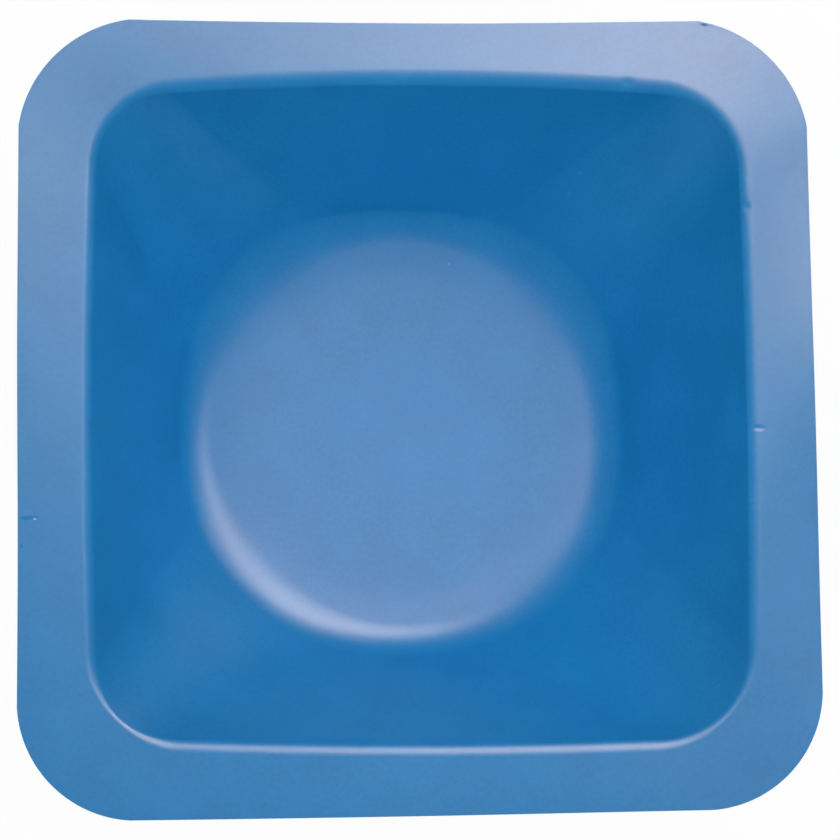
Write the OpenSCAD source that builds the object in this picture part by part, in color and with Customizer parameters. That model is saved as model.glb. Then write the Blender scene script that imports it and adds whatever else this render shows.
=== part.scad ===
// Square weighing boat: one thin sheet of plastic, drawn over a tool and then die cut.
// The opening is a square with bowed sides and round corners, and the base is a circle.
// Straight lines run from the one to the other, so each wall is nearly flat at the rim and
// round at the foot, and each corner is part of a cone.
// Frame: Z up, the underside of the base at z = 0, the Z axis through the base's centre.

/* [Size] */
// Width of the rim from one cut edge to the other
rim_w = 85; // [80:0.5:110]
// Height from the underside of the base to the top of the rim
boat_h = 24; // [16:0.5:34]
// Thickness of the sheet
sheet_t = 0.4; // [0.3:0.05:0.7]

/* [Rim] */
// Width of the flat rim at the middle of a side, up to the sharp edge of the opening
rim_flat = 7.25; // [5:0.25:9]
// Radius of the cut corners
cut_corner_r = 13.4; // [10:0.2:18]
// Angle between a straight cut and a corner's cut where they cross
cut_kink = 6.5; // [1:0.5:12]

/* [Opening] */
// Radius of the slight outward bow of each side
side_r = 480; // [200:10:1200]
// Radius of the opening's corners
open_corner_r = 8.8; // [5:0.2:14]
// Radius of the fold between rim and wall, on the upper face
fold_r = 1.8; // [0.8:0.1:2.5]

/* [Base] */
// Diameter of the base at the sharp corner of the foot
base_d = 49; // [34:0.5:54]
// Distance from that sharp corner to where the foot's rounding starts and ends
foot_run = 2.75; // [1.5:0.25:6]
// Part of the base circle that each corner cone stands on, in degrees
cone_arc = 45; // [30:1:60]

/* [Hidden] */

// Steps of the skin: round a side, round a corner, and down the fold, wall and foot
side_steps = 8;
corner_steps = 12;
fold_steps = 5;
wall_steps = 6;
foot_steps = 6;

// Opening: where a bowed side ends, and the centres of the side's and the corner's arcs
open_half = rim_w / 2 - rim_flat;
side_centre = open_half - side_r;
side_turn = acos((side_r - open_half) / (side_r - open_corner_r) / sqrt(2)) - 45;
open_corner_centre = (side_r - open_corner_r) * sin(side_turn);

// Rim: centre of a cut corner, and the web of spare sheet that the die cuts away
cut_centre = rim_w / 2 - cut_corner_r * cos(cut_kink);
web_w = rim_w / 2;

function unit(v) = v / norm(v);
function level(a) = [cos(a), sin(a), 0];
function turned(p, a) = [p.x * cos(a) - p.y * sin(a), p.x * sin(a) + p.y * cos(a), p.z];

// A station is a point on the opening's sharp edge, the way out from it in degrees, and the
// place round the base circle, in degrees, that its straight line down the wall runs to.
function side_station(s) =
    [[side_centre, 0, boat_h] + side_r * level(s * side_turn),
     s * side_turn, s * (45 - cone_arc / 2)];
function corner_station(s) = let (out = 45 + s * (45 - side_turn))
    [[open_corner_centre, open_corner_centre, boat_h] + open_corner_r * level(out),
     out, 45 + s * cone_arc / 2];

quarter = concat(
    [for (i = [0 : side_steps - 1]) side_station(2 * i / side_steps - 1)],
    [for (i = [0 : corner_steps - 1]) corner_station(2 * i / corner_steps - 1)]);
stations = [for (q = [0 : 3]) for (s = quarter) [turned(s[0], 90 * q), s[1] + 90 * q, s[2] + 90 * q]];

// Part of a line that lies square to an edge running along e
function square_to(line, e) = unit(line - (line * e) * e);

// Round arc from a to b that is tangent to both straight legs of the sharp corner at c and
// turns through the angle given. Where the legs are askew the arc is sheared with them.
function arc_point(a, c, b, turn, t) = let (k = [(1 - t) * (1 - t), 2 * t * (1 - t) * cos(turn / 2), t * t])
    (k[0] * a + k[1] * c + k[2] * b) / (k[0] + k[1] + k[2]);

// Upper face down one station: spare web, fold, straight wall, foot, edge of the flat base
function profile(station) = let (
    edge = station[0],
    edge_out = level(station[1]),
    foot_out = level(station[2]),
    foot = base_d / 2 * foot_out + [0, 0, sheet_t],
    wall = unit(edge - foot),
    wall_at_edge = square_to(wall, level(station[1] + 90)),
    wall_at_foot = square_to(wall, level(station[2] + 90)),
    fold_turn = acos(edge_out * wall_at_edge),
    foot_turn = acos(foot_out * wall_at_foot),
    fold_run = fold_r * tan(fold_turn / 2),
    rim_start = edge + fold_run * edge_out,
    wall_top = edge - fold_run / (wall * wall_at_edge) * wall,
    wall_end = foot + foot_run / (wall * wall_at_foot) * wall,
    base_start = foot - foot_run * foot_out)
    concat(
        [edge + web_w * edge_out],
        [for (i = [0 : fold_steps]) arc_point(rim_start, edge, wall_top, fold_turn, i / fold_steps)],
        [for (i = [1 : wall_steps - 1]) wall_top + i / wall_steps * (wall_end - wall_top)],
        [for (i = [0 : foot_steps]) arc_point(wall_end, foot, base_start, foot_turn, i / foot_steps)]);

upper = [for (s = stations) profile(s)];
count = len(stations);
rows = len(upper[0]);

// The lower face lies one thickness below the upper one, square to it
function square_up(i, j) = j < 2 || j == rows - 1 ? [0, 0, 1]
    : unit(cross(upper[(i + 1) % count][j] - upper[(i + count - 1) % count][j],
                 upper[i][j + 1] - upper[i][j - 1]));
lower = [for (i = [0 : count - 1]) [for (j = [0 : rows - 1]) upper[i][j] - sheet_t * square_up(i, j)]];

function upper_id(i, j) = (i % count) * rows + j;
function lower_id(i, j) = count * rows + upper_id(i, j);

module formed_sheet() {
    ring = [0 : count - 1];
    down = [0 : rows - 2];
    polyhedron(
        points = [for (face = [upper, lower]) for (line = face) for (p = line) p],
        faces = concat(
            [for (i = ring) for (j = down) [upper_id(i, j), upper_id(i + 1, j + 1), upper_id(i, j + 1)]],
            [for (i = ring) for (j = down) [upper_id(i, j), upper_id(i + 1, j), upper_id(i + 1, j + 1)]],
            [for (i = ring) for (j = down) [lower_id(i, j), lower_id(i, j + 1), lower_id(i + 1, j + 1)]],
            [for (i = ring) for (j = down) [lower_id(i, j), lower_id(i + 1, j + 1), lower_id(i + 1, j)]],
            [for (i = ring) [upper_id(i, 0), lower_id(i, 0), lower_id(i + 1, 0)]],
            [for (i = ring) [upper_id(i, 0), lower_id(i + 1, 0), upper_id(i + 1, 0)]],
            [[for (i = ring) upper_id(count - 1 - i, rows - 1)]],
            [[for (i = ring) lower_id(i, rows - 1)]]));
}

// Outline of the cut: four straight edges, and corners whose arcs cross them at the kink
module cut_outline() {
    intersection() {
        square(rim_w, center = true);
        union() {
            square([2 * rim_w, 2 * cut_centre], center = true);
            square([2 * cut_centre, 2 * rim_w], center = true);
            for (x = [-1, 1], y = [-1, 1])
                translate([x, y] * cut_centre) circle(r = cut_corner_r, $fn = 96);
        }
    }
}

module boat() {
    color("#2F74B5")
        intersection() {
            formed_sheet();
            translate([0, 0, -boat_h]) linear_extrude(height = 3 * boat_h) cut_outline();
        }
}

boat();
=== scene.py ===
# Weighing boat: one sheet of blue polystyrene, vacuum formed and die cut, on a pale studio floor.
import math
import bpy
import numpy as np
from mathutils import Matrix, Vector


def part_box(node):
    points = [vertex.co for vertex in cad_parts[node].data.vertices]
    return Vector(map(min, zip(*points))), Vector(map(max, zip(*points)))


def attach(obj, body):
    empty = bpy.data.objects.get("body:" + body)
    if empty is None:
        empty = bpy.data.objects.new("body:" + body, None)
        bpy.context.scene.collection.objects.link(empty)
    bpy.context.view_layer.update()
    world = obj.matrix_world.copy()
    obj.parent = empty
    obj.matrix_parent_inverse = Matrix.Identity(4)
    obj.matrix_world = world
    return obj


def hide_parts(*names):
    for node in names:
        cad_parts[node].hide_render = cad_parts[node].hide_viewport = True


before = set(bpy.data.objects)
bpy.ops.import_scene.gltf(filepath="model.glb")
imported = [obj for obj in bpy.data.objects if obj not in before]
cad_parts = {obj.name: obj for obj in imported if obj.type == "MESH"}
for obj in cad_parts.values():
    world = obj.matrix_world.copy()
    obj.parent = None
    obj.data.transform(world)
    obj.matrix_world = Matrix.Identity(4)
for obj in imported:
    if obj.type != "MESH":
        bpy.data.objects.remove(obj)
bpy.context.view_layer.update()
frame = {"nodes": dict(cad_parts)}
mm = 0.001
print("frame loaded:", ", ".join(frame["nodes"]))

view = {
    "place": (-23.8, -34.9, 318.3),  # mm; above the boat, a little to its front left
    "target": (-0.05, -0.95, 24.0),  # mm; the middle of the rim
    "lean": 0.82,  # degrees that the top of the frame leans from +Y
    "lens": 120.0,
}


def aim(thing, place, target, up):
    # -Z of the thing runs from place to target, and its Y is up made square to that
    forward = (Vector(target) - Vector(place)).normalized()
    right = forward.cross(Vector(up)).normalized()
    axes = Matrix((right, right.cross(forward), -forward)).transposed()
    thing.matrix_world = Matrix.Translation(Vector(place) * mm) @ axes.to_4x4()


def makeCamera(v):
    camera = bpy.data.objects.new("camera", bpy.data.cameras.new("camera"))
    camera.data.lens = v["lens"]
    camera.data.clip_start = 0.01
    lean = math.radians(v["lean"])
    aim(camera, v["place"], v["target"], (math.sin(lean), math.cos(lean), 0))
    bpy.context.scene.collection.objects.link(camera)
    bpy.context.scene.camera = camera


makeCamera(view)
print("camera placed")

# Millimetres. Lists of four run right, back, left, front, and the corners back right,
# back left, front left, front right.
boat = {
    "openHalf": [35.34, 35.67, 34.91, 35.39],  # middle of each side of the opening, from the centre
    "sideRadius": [950.0, 382.0, 891.0, 779.0],  # each side bows out a little
    "sideShift": [6.0, -0.5, 1.0, 10.2],  # and its middle lies this far along the side
    "openCorner": [8.5, 8.15, 8.7, 9.8],  # radius of each corner of the opening
    "baseAt": (-0.22, 0.45),
    "baseDish": 0.41,  # rise of the base from its middle to its outer ring
    "ringStart": 19.0,  # radius where the base's outer ring starts
    "ringBlend": 1.2,  # how softly it starts
    # The next seven lists run round from the right in steps of 45 degrees.
    "foldAtRim": [1.92, 2.2, 2.26, 2.3, 1.51, 1.1, 1.8, 1.4],  # radius of the fold, toward the rim
    "foldAtWall": [0.78, 0.85, 1.0, 1.4, 1.4, 0.45, 1.09, 0.85],  # and toward the wall
    "ringSlope": [-0.014, 0.02, 0.03, 0.06, -0.042, 0.022, 0.033, 0.1],  # rise over run
    "footRadius": [24.41, 25.42, 24.76, 25.37, 24.74, 24.76, 24.86, 24.86],  # sharp corner of the foot
    "baseRun": [3.08, 4.71, 2.95, 4.86, 2.87, 3.7, 2.85, 2.94],  # its rounding, in over the base
    "wallRun": [2.49, 2.71, 1.71, 3.27, 2.41, 2.24, 2.94, 2.09],  # and up the wall
    "wallSag": [0.2, 0.05, 0.1, 0.05, 0.3, 0.6, 0.0, 0.05],  # how far the wall's middle hangs out
    "footTight": 1.21,  # more than 1 bends the foot's rounding mostly near its sharp corner
    "coneArc": 45.0,  # degrees of the base circle under each corner
    "sheet": 0.4,
    "cutCorners": [(14.1, 10.0), (13.9, 8.0), (12.6, 4.0), (12.9, 3.0)],  # radius, kink in degrees
    "cutHollow": [0.0, 0.27, 0.0, 0.0],  # how far the middle of each cut edge lies in
    "cutRound": 0.05,  # radius left on the cut edge
    # How far the cut edge lies outwards, and how far it hangs below the top: cosine and sine
    # shares of 0, 1, 2 ... waves round the boat.
    "cutSpread": [(0.021, 0.0), (0.107, -0.008), (-0.019, 0.077), (-0.004, 0.045), (0.008, -0.035),
                  (-0.018, -0.015), (0.013, -0.032)],
    "rimDrop": [(0.057, 0.0), (0.32, 0.113), (-0.092, 0.115), (0.015, -0.04), (-0.042, -0.028),
                (-0.056, -0.08), (-0.021, -0.059), (-0.035, -0.027), (-0.023, -0.01)],
    # knocks in the fold: side, place along it, out from the opening's edge, depth, radius
    "dints": [(0, 22.0, 0.5, 0.08, 0.5), (1, -23.0, 0.7, 0.08, 0.5)],
    "dintDown": 0.15,  # the knocks' middles, below the top
    "dintReach": 5,  # radii over which the columns close up at a knock
    "rowsDown": {"base": 24, "foot": 18, "wall": 24, "fold": 14, "rim": 12, "cut": 2},
    "stepsRound": {"side": 68, "corner": 48, "dint": 24},
    # how much rows close up: base toward the foot, wall toward the fold, rim toward the fold
    "crowding": {"base": 0.6, "wall": 1.5, "rim": 1.4},
    "lastRing": 0.99,  # part of the rim's width at its last row but one
}


def level(angle):
    return np.stack([np.cos(angle), np.sin(angle), np.zeros_like(angle)], axis=-1)


def quarterTurn(points, quarter):
    c, s = [(1, 0), (0, 1), (-1, 0), (0, -1)][quarter]
    return points @ np.array([[c, s, 0], [-s, c, 0], [0, 0, 1]], dtype=float)


def dot(a, b):
    return np.sum(a * b, axis=-1, keepdims=True)


def unit(a):
    return a / np.linalg.norm(a, axis=-1, keepdims=True)


def openingCorner(b, quarter):
    # Centre of a corner's circle and the angles it runs between. It touches both sides' circles
    # from inside, so the centre is where circles of radius side - corner about their centres meet.
    nextQuarter = (quarter + 1) % 4
    r = b["openCorner"][quarter]
    r1 = b["sideRadius"][quarter]
    r2 = b["sideRadius"][nextQuarter]
    c1 = np.array([b["openHalf"][quarter] - r1, b["sideShift"][quarter]])
    c2 = np.array([-b["sideShift"][nextQuarter], b["openHalf"][nextQuarter] - r2])
    apart = np.linalg.norm(c2 - c1)
    along = (c2 - c1) / apart
    foot = ((r1 - r) ** 2 - (r2 - r) ** 2 + apart**2) / (2 * apart)
    centre = c1 + foot * along + np.sqrt((r1 - r) ** 2 - foot**2) * np.array([-along[1], along[0]])
    first = math.atan2(*(centre - c1)[::-1])
    last = math.atan2(*(centre - c2)[::-1])
    return centre, first, last


def roundTheBoat(b, half, top):
    # Eight stretches with s from -1 to 1: a side takes even angles of its bow's circle, a corner
    # even angles of its own circle, and both run evenly along the base circle and the cut.
    corners = [openingCorner(b, quarter) for quarter in range(4)]
    cone = np.radians(b["coneArc"] / 2)
    steps = b["stepsRound"]
    parts = {"edge": [], "edgeOut": [], "footOut": [], "cut": [], "cutOut": []}

    def keep(quarter, **arrays):
        for name, points in arrays.items():
            parts[name].append(quarterTurn(points, quarter))

    for quarter in range(4):
        cutR, kink = np.array(b["cutCorners"][quarter]) * (1, np.pi / 180)
        lastR, lastKink = np.array(b["cutCorners"][quarter - 1]) * (1, np.pi / 180)
        cutAt = half - cutR * np.cos(kink)
        lastAt = half - lastR * np.cos(lastKink)
        kinkLow = -(lastAt + lastR * np.sin(lastKink))
        kinkHigh = cutAt + cutR * np.sin(kink)
        centre, first, last = corners[quarter]
        start = corners[quarter - 1][2] - np.pi / 2
        sideR = b["sideRadius"][quarter]

        s = np.linspace(-1, 1, steps["side"] + 1)[:-1]
        for side, along, out, depth, radius in b["dints"]:
            if side == quarter:
                turn = np.arcsin((along - b["sideShift"][quarter]) / sideR)
                middle = 2 * (turn - start) / (first - start) - 1
                spread = b["dintReach"] * radius / sideR / (first - start)
                s = np.union1d(s, middle + spread * np.linspace(-1, 1, steps["dint"] + 1))
        angle = start + (s + 1) / 2 * (first - start)
        edge = level(angle) * sideR + (b["openHalf"][quarter] - sideR, b["sideShift"][quarter], top)
        cut = np.stack([half - b["cutHollow"][quarter] * (1 - s**2),
                        kinkLow + (s + 1) / 2 * (kinkHigh - kinkLow),
                        np.full_like(s, top)], axis=-1)
        keep(quarter, edge=edge, edgeOut=level(angle), footOut=level(s * (np.pi / 4 - cone)),
             cut=cut, cutOut=level(0 * s))

        s = np.linspace(-1, 1, steps["corner"] + 1)[:-1]
        angle = first + (s + 1) / 2 * (last - first)
        cutAngle = np.pi / 4 + s * (np.pi / 4 - kink)
        keep(quarter, edge=level(angle) * b["openCorner"][quarter] + (*centre, top),
             edgeOut=level(angle), footOut=level(np.pi / 4 + s * cone),
             cut=level(cutAngle) * cutR + (cutAt, cutAt, top), cutOut=level(cutAngle))
    stations = {name: np.concatenate(arrays) for name, arrays in parts.items()}
    turn = np.arctan2(stations["cut"][:, 1], stations["cut"][:, 0])

    def series(name):
        return sum(c * np.cos(k * turn) + s * np.sin(k * turn) for k, (c, s) in enumerate(b[name]))

    stations["cut"] += series("cutSpread")[:, None] * stations["cutOut"]
    stations["cut"][:, 2] -= series("rimDrop")
    return stations


def arc(a, corner, b, turn, t, tight=1.0):
    # Arc from a to b inside a corner: (1-t)^2 a + 2t(1-t) tight cos(turn/2) corner + t^2 b, over
    # the sum of those weights. It is sheared with its legs where they are askew.
    t = t[:, None, None]
    weights = [(1 - t) ** 2, 2 * t * (1 - t) * tight * np.cos(turn / 2), t**2]
    return (weights[0] * a + weights[1] * corner + weights[2] * b) / sum(weights)


def byEighth(values, out):
    # Values at every 45 degrees, each weighing cos^2 of twice the angle from it
    around = np.arctan2(out[:, 1], out[:, 0])[:, None]
    apart = (around - np.arange(8) * np.pi / 4 + np.pi) % (2 * np.pi) - np.pi
    return np.where(np.abs(apart) < np.pi / 4, np.cos(2 * apart) ** 2, 0) @ np.array(values)[:, None]


def upperFace(b, stations, rows):
    # Rings from the middle of the base out to the cut: dished base, foot arc, straight wall,
    # fold arc, rim. Each ring is a row and each station a column.
    edge, edgeOut, footOut = stations["edge"], stations["edgeOut"], stations["footOut"]
    zUp = np.array([0.0, 0.0, 1.0])
    middle = np.array([*b["baseAt"], b["sheet"]])
    ringSlope, footRadius, baseRun, wallRun, wallSag = [
        byEighth(b[name], footOut)
        for name in ("ringSlope", "footRadius", "baseRun", "wallRun", "wallSag")]

    def baseHeight(out):
        # the dish, and a hyperbola that turns from level into the ring's slope round its start
        past = out - b["ringStart"]
        return (b["baseDish"] * (out / b["ringStart"]) ** 2
                + ringSlope * (past + np.sqrt(past**2 + b["ringBlend"] ** 2)) / 2)

    flat = footRadius - baseRun
    slope = (baseHeight(flat + 0.01) - baseHeight(flat - 0.01)) / 0.02
    baseEdge = middle + flat * footOut + baseHeight(flat) * zUp
    foot = baseEdge + baseRun * (footOut + slope * zUp)
    wall = unit(edge - foot)

    def squareTo(tangent):
        return unit(wall - dot(wall, tangent) * tangent)

    def share(name):
        return (np.arange(1, rows[name] + 1) / rows[name])[:, None, None]

    atEdge = squareTo(np.cross(zUp, edgeOut))
    atFoot = squareTo(np.cross(zUp, footOut))
    foldTurn = np.arccos(dot(edgeOut, atEdge))
    footTurn = np.arccos(dot(footOut, atFoot))
    rimRun = byEighth(b["foldAtRim"], edgeOut) * np.tan(foldTurn / 2)
    downRun = byEighth(b["foldAtWall"], edgeOut) * np.tan(foldTurn / 2)
    rimStart = edge + rimRun * edgeOut
    rimEnd = stations["cut"] - b["cutRound"] * stations["cutOut"]
    wallTop = edge - downRun / dot(wall, atEdge) * wall
    wallEnd = foot + wallRun / dot(wall, atFoot) * wall

    # the wall hangs below its straight line by sag x sin(half a turn along it)^2
    fromTop = (1 - share("wall")) ** b["crowding"]["wall"]
    hang = wallSag * np.sin(np.pi * fromTop) ** 2 * unit(zUp - dot(wall, zUp) * wall)
    outAt = flat * share("base") ** b["crowding"]["base"]
    acrossRim = b["lastRing"] * share("rim") ** b["crowding"]["rim"]
    return np.concatenate([middle + outAt * footOut + baseHeight(outAt) * zUp,
                           arc(baseEdge, foot, wallEnd, footTurn, share("foot").ravel(), b["footTight"]),
                           wallTop + fromTop * (wallEnd - wallTop) - hang,
                           arc(wallTop, edge, rimStart, foldTurn, share("fold").ravel()),
                           rimStart + acrossRim * (rimEnd - rimStart), rimEnd[None]])


def squareUp(points):
    # (step outwards) x (step round)
    around = np.roll(points, -1, axis=1) - np.roll(points, 1, axis=1)
    return unit(np.cross(np.gradient(points, axis=0), around))


def dinted(points, b, top):
    # Each knock sinks the face square to itself by depth x exp(-(distance / radius)^2)
    for side, along, out, depth, radius in b["dints"]:
        bow = (along - b["sideShift"][side]) ** 2 / 2 / b["sideRadius"][side]
        place = np.array([b["openHalf"][side] - bow + out, along, top - b["dintDown"]])
        place = quarterTurn(place, side)
        away = np.linalg.norm(points - place, axis=-1, keepdims=True)
        points = points - depth * np.exp(-((away / radius) ** 2)) * squareUp(points)
    return points


def closedSheet(b, rimHalf, height):
    # The lower face lies one thickness under the upper one, square to it. The cut edge between
    # them is a quarter circle, a straight, a quarter circle.
    stations = roundTheBoat(b, rimHalf, height)
    upper = dinted(upperFace(b, stations, b["rowsDown"]), b, height)
    lower = upper - b["sheet"] * squareUp(upper)
    turn = np.linspace(0, np.pi / 2, b["rowsDown"]["cut"] + 2)[1:, None, None]
    outwards = b["cutRound"] * np.sin(turn) * stations["cutOut"]
    inwards = b["cutRound"] * (1 - np.cos(turn)) * squareUp(upper)[-1]
    rings = np.concatenate([upper, upper[-1] + outwards - inwards,
                            (lower[-1] + outwards + inwards)[::-1], lower[::-1]])
    cutRows = np.zeros(len(rings))
    cutRows[len(upper) : -len(upper)] = 1
    poles = np.array([[*b["baseAt"], b["sheet"]], [*b["baseAt"], 0.0]])
    return rings, poles, cutRows


def sheetMesh(name, rings, poles):
    # A grid of rings closed by a fan of triangles at each pole, faces outwards
    m, n = rings.shape[:2]
    ids = np.arange(m * n).reshape(m, n)
    nextIds = np.roll(ids, -1, axis=1)
    quads = np.stack([ids[:-1], ids[1:], nextIds[1:], nextIds[:-1]], axis=-1).reshape(-1, 4)
    first = np.stack([np.full(n, m * n), ids[0], nextIds[0]], axis=-1)
    last = np.stack([ids[-1], np.full(n, m * n + 1), nextIds[-1]], axis=-1)
    corners = np.concatenate([quads.ravel(), first.ravel(), last.ravel()])
    sizes = np.concatenate([np.full(len(quads), 4), np.full(2 * n, 3)])
    points = np.concatenate([rings.reshape(-1, 3), poles]) * mm
    mesh = bpy.data.meshes.new(name)
    mesh.vertices.add(len(points))
    mesh.vertices.foreach_set("co", points.ravel())
    mesh.loops.add(len(corners))
    mesh.loops.foreach_set("vertex_index", corners)
    mesh.polygons.add(len(sizes))
    mesh.polygons.foreach_set("loop_start", np.concatenate([[0], np.cumsum(sizes)[:-1]]))
    mesh.update(calc_edges=True)
    mesh.validate()
    mesh.shade_smooth()
    return mesh


low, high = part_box("boat")
rings, poles, cutRows = closedSheet(boat, high[0] / mm, high[2] / mm)
sheet = bpy.data.objects.new("formed_sheet", sheetMesh("formed_sheet", rings, poles))
bpy.context.scene.collection.objects.link(sheet)
cutMark = sheet.data.attributes.new("cutEdge", "FLOAT", "POINT")
cutMark.data.foreach_set("value", np.concatenate([np.repeat(cutRows, rings.shape[1]), [0, 0]]))
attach(sheet, "root")
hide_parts("boat")
print("sheet made:", len(sheet.data.polygons), "faces")


def linear(hexText):
    # sRGB hex to linear: c/12.92 up to 0.04045, else ((c + 0.055) / 1.055)^2.4
    values = [int(hexText[i : i + 2], 16) / 255 for i in (1, 3, 5)]
    return (*[c / 12.92 if c <= 0.04045 else ((c + 0.055) / 1.055) ** 2.4 for c in values], 1.0)


def addNode(tree, kind, inputs=None, **settings):
    node = tree.nodes.new("ShaderNode" + kind)
    for name, value in settings.items():
        setattr(node, name, value)
    for name, value in (inputs or {}).items():
        if isinstance(value, bpy.types.NodeSocket):
            tree.links.new(value, node.inputs[name])
        else:
            node.inputs[name].default_value = value
    return node


# Millimetres and degrees. A dent is (x, y, length, width, turn, depth), a rub is (x, y, length,
# width, turn, share), and a speck, a grime or a painted sheen band is (x, y, z, length, width, turn,
# share).
polystyrene = {
    "blue": "#0D6CA5",
    "paleBlue": "#1575AF",
    "cutBlue": "#3C86BC",
    "dust": "#9DB4CC",
    # paler blue for the painted sheen band, a painted highlight and not a colour of the plastic
    "streak": "#2A82BE",
    "grime": "#3A4650",
    "roughness": 0.363,
    "rubbed": 0.12,  # roughness of a rub with a share of 1
    "cutRough": 0.5,
    "ior": 1.59,
    "mottle": 6.0,  # across a patch
    "mottleDepth": 0.02,
    "grain": 0.45,  # across a grain; the blasting of the real tool is finer and would not show
    "grainDepth": 0.006,
    "tint": (0.7, 1.3),  # sum of both patterns at the blue and at the pale blue
    "dents": [(36.3, -2.0, 2.3, 0.9, 0.0, 0.045), (-40.5, -11.05, 0.7, 0.55, 0.0, 0.04)],
    "rubs": [(-41.35, -11.05, 2.9, 0.8, 0.0, 0.8), (-41.95, -14.0, 0.5, 1.1, 0.0, 0.8),
             (31.7, 42.3, 1.6, 0.5, -10.0, -1.5)],  # a share below 0 is rougher
    "specks": [(19.34, 28.23, 11.9, 0.5, 0.5, 0.0, 0.12), (18.4, 26.5, 9.4, 0.45, 0.45, 0.0, 0.12),
               (5.44, 19.83, 0.85, 0.5, 0.5, 0.0, 0.25), (35.4, -9.7, 23.7, 0.35, 0.35, 0.0, 0.3)],
    "grimes": [(29.8, 37.4, 24.0, 0.6, 0.5, 0.0, 0.25), (31.7, 42.3, 24.0, 1.5, 0.5, -10.0, 0.8)],
    # painted highlight: a pale band of sheen painted into the colour down the back right corner's cone
    "streaks": [(29.2, 27.1, 17.3, 17.0, 5.0, 54.0, 0.2)],
}


def formedPolystyrene(p):
    # Vacuum formed anti-static polystyrene: solid blue, a satin face from the blasted tool that
    # spreads each light into a soft white veil. Where something rubbed it, it is smoother and
    # loses the veil. The die leaves the cut edge paler and rougher.
    # The back right corner also has a pale band painted into its colour, which stands for a highlight of
    # sheen.
    material = bpy.data.materials.new("formed polystyrene")
    material.use_nodes = True
    tree = material.node_tree
    tree.nodes.clear()
    place = addNode(tree, "TexCoord").outputs["Object"]

    def maths(operation, a, b):
        return addNode(tree, "Math", {0: a, 1: b}, operation=operation).outputs[0]

    def spot(x, y, z, length, width, turn, deep=1000.0):
        # 1 in the middle of an ellipse, and smoothly down to 0 at its outline
        inside = addNode(tree, "Mapping", {"Vector": place, "Location": Vector((x, y, z)) * mm,
                                           "Rotation": (0, 0, math.radians(turn)),
                                           "Scale": Vector((length, width, deep)) / 2 * mm},
                         vector_type="TEXTURE").outputs[0]
        out = addNode(tree, "VectorMath", {0: inside}, operation="LENGTH").outputs["Value"]
        return addNode(tree, "MapRange", {"Value": out, "From Min": 1.0, "From Max": 0.0},
                       interpolation_type="SMOOTHSTEP").outputs[0]

    def blend(under, over, share):
        return addNode(tree, "Mix", {"Factor": share, 6: under, 7: over}, data_type="RGBA").outputs[2]

    def bump(height, depth, under=None):
        inputs = {"Height": height, "Strength": 1.0, "Distance": depth * mm}
        return addNode(tree, "Bump", {**inputs, "Normal": under} if under else inputs).outputs[0]

    patches, grain = [
        addNode(tree, "TexNoise",
                {"Vector": place, "Scale": 1 / (p[size] * mm), "Detail": detail}).outputs[0]
        for size, detail in (("mottle", 3.0), ("grain", 2.0))]
    cut = addNode(tree, "Attribute", attribute_name="cutEdge").outputs["Fac"]

    tint = addNode(tree, "MapRange", {"Value": maths("ADD", patches, grain),
                                      "From Min": p["tint"][0], "From Max": p["tint"][1]})
    colour = blend(linear(p["blue"]), linear(p["paleBlue"]), tint.outputs[0])
    # specks are dust and grimes are dirt; the third list is painted sheen, a painted highlight laid into
    # the colour
    for marks, over in (("specks", "dust"), ("streaks", "streak"), ("grimes", "grime")):
        for *where, share in p[marks]:
            colour = blend(colour, linear(p[over]), maths("MULTIPLY", spot(*where), share))
    colour = blend(colour, linear(p["cutBlue"]), cut)

    roughness = maths("MULTIPLY_ADD", cut, p["cutRough"] - p["roughness"])
    roughness.node.inputs[2].default_value = p["roughness"]
    for x, y, length, width, turn, share in p["rubs"]:
        change = share * (p["roughness"] - p["rubbed"])
        rub = maths("MULTIPLY", spot(x, y, high[2] / mm, length, width, turn), change)
        roughness = maths("SUBTRACT", roughness, rub)

    normal = bump(patches, p["mottleDepth"])
    normal = bump(grain, p["grainDepth"], normal)
    for x, y, length, width, turn, depth in p["dents"]:
        hollow = maths("SUBTRACT", 1.0, spot(x, y, high[2] / mm, length, width, turn))
        normal = bump(hollow, depth, normal)

    shader = addNode(tree, "BsdfPrincipled", {"Base Color": colour, "Roughness": roughness,
                                              "IOR": p["ior"], "Normal": normal})
    addNode(tree, "OutputMaterial", {"Surface": shader.outputs["BSDF"]})
    return material


sheet.data.materials.append(formedPolystyrene(polystyrene))
print("material made")

# Degrees are measured round from +X and down from straight above. A satin face shows two
# different things, so each lamp is there either for the veil that it leaves (its sheen) or for
# the colour that it brings out (its fill).
studio = {
    "floorSize": 3000.0,  # mm
    "floor": "#F4F4F4",
    "floorGlow": 0.95,  # part of the floor that the camera and mirrors see as plain white
    "floorDrop": 0.02,  # mm below the base
    "room": 0.2,
    "away": 2000.0,  # mm from the boat to a lamp
    "keySheen": {"round": 64.5, "down": 31.2, "wide": 14.2, "tall": 17.4,
                 "radiance": 11.8, "colour": "#FFEAE1"},
    "windowSheen": {"round": 51.5, "down": 61.0, "wide": 25.0, "tall": 25.0,
                    "radiance": 1.85, "colour": "#FFEAE1"},
    "ceilingFill": {"round": 0.0, "down": 0.0, "wide": 65.0, "tall": 65.0,
                    "radiance": 0.93, "colour": "#FFFFFF"},
    "windowFill": {"round": 62.0, "down": 50.0, "wide": 20.0, "tall": 20.0,
                   "radiance": 1.3, "colour": "#FFFFFF"},
    "bowlFill": {"round": 0.0, "down": 0.0, "away": 50.0, "wide": 16.0, "tall": 16.0,
                 "radiance": 2.95, "colour": "#FFFFFF"},
}


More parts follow.
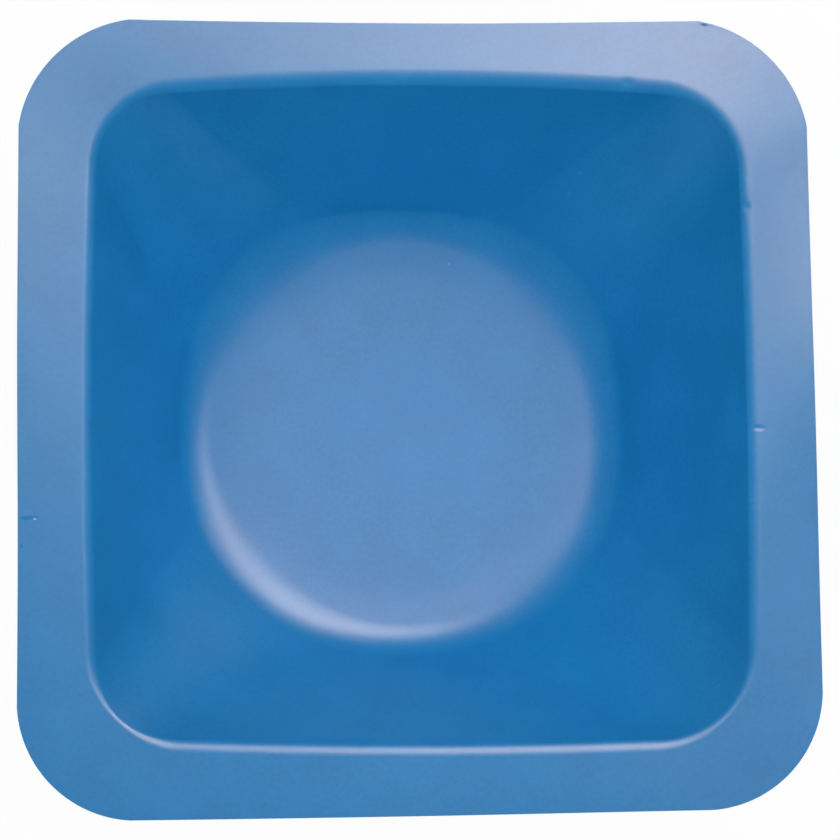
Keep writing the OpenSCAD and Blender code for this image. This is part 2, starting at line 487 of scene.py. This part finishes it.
def makeFloor(s):
    half = s["floorSize"] / 2 * mm
    z = low[2] - s["floorDrop"] * mm
    mesh = bpy.data.meshes.new("floor")
    corners = [(-half, -half, z), (half, -half, z), (half, half, z), (-half, half, z)]
    mesh.from_pydata(corners, [], [(0, 1, 2, 3)])
    floor = bpy.data.objects.new("floor", mesh)
    bpy.context.scene.collection.objects.link(floor)
    material = bpy.data.materials.new("white studio paper")
    material.use_nodes = True
    tree = material.node_tree
    tree.nodes.clear()
    rays = addNode(tree, "LightPath").outputs
    paper = addNode(tree, "BsdfDiffuse", {"Color": linear(s["floor"])})
    glow = addNode(tree, "Emission", {"Color": (1, 1, 1, 1), "Strength": 1.0})
    mirrored = addNode(tree, "Math", {0: rays["Is Glossy Ray"], 1: rays["Is Transmission Ray"]},
                       operation="ADD")
    seen = addNode(tree, "Math", {0: rays["Is Camera Ray"], 1: mirrored.outputs[0]}, operation="ADD")
    share = addNode(tree, "Math", {0: seen.outputs[0], 1: s["floorGlow"]}, operation="MULTIPLY")
    both = addNode(tree, "MixShader", {0: share.outputs[0], 1: paper.outputs[0], 2: glow.outputs[0]})
    addNode(tree, "OutputMaterial", {"Surface": both.outputs[0]})
    mesh.materials.append(material)


def makeWorld(s):
    world = bpy.data.worlds.new("studio")
    bpy.context.scene.world = world
    world.use_nodes = True
    tree = world.node_tree
    tree.nodes.clear()
    rays = addNode(tree, "LightPath")
    room = addNode(tree, "Background", {"Color": (1, 1, 1, 1), "Strength": s["room"]})
    seen = addNode(tree, "Background", {"Color": (1, 1, 1, 1), "Strength": 1.0})
    both = addNode(tree, "MixShader", {0: rays.outputs["Is Camera Ray"], 1: room.outputs[0],
                                       2: seen.outputs[0]})
    addNode(tree, "OutputWorld", {"Surface": both.outputs[0]})


def makeLamp(name, lamp, away):
    # An ellipse square to the line from the boat. Its power is pi x area x radiance.
    across = math.radians(lamp["round"])
    down = math.radians(lamp["down"])
    towards = Vector((math.sin(down) * math.cos(across), math.sin(down) * math.sin(across), math.cos(down)))
    place = towards * away
    light = bpy.data.lights.new(name, "AREA")
    light.shape = "ELLIPSE"
    light.size = 2 * away * math.tan(math.radians(lamp["wide"])) * mm
    light.size_y = 2 * away * math.tan(math.radians(lamp["tall"])) * mm
    light.energy = math.pi * (math.pi / 4 * light.size * light.size_y) * lamp["radiance"]
    light.color = linear(lamp["colour"])[:3]
    light.cycles.use_multiple_importance_sampling = False
    softbox = bpy.data.objects.new(name, light)
    bpy.context.scene.collection.objects.link(softbox)
    aim(softbox, place, (0, 0, 0), (0, 0, 1) if lamp["down"] else (0, 1, 0))
    softbox.visible_camera = False
    softbox.visible_glossy = name.endswith("Sheen")
    softbox.visible_diffuse = name.endswith("Fill")


makeFloor(studio)
makeWorld(studio)
for name in ("keySheen", "windowSheen", "ceilingFill", "windowFill", "bowlFill"):
    makeLamp(name, studio[name], studio[name].get("away", studio["away"]))
bpy.context.scene.view_settings.view_transform = "Standard"
print("studio lit")
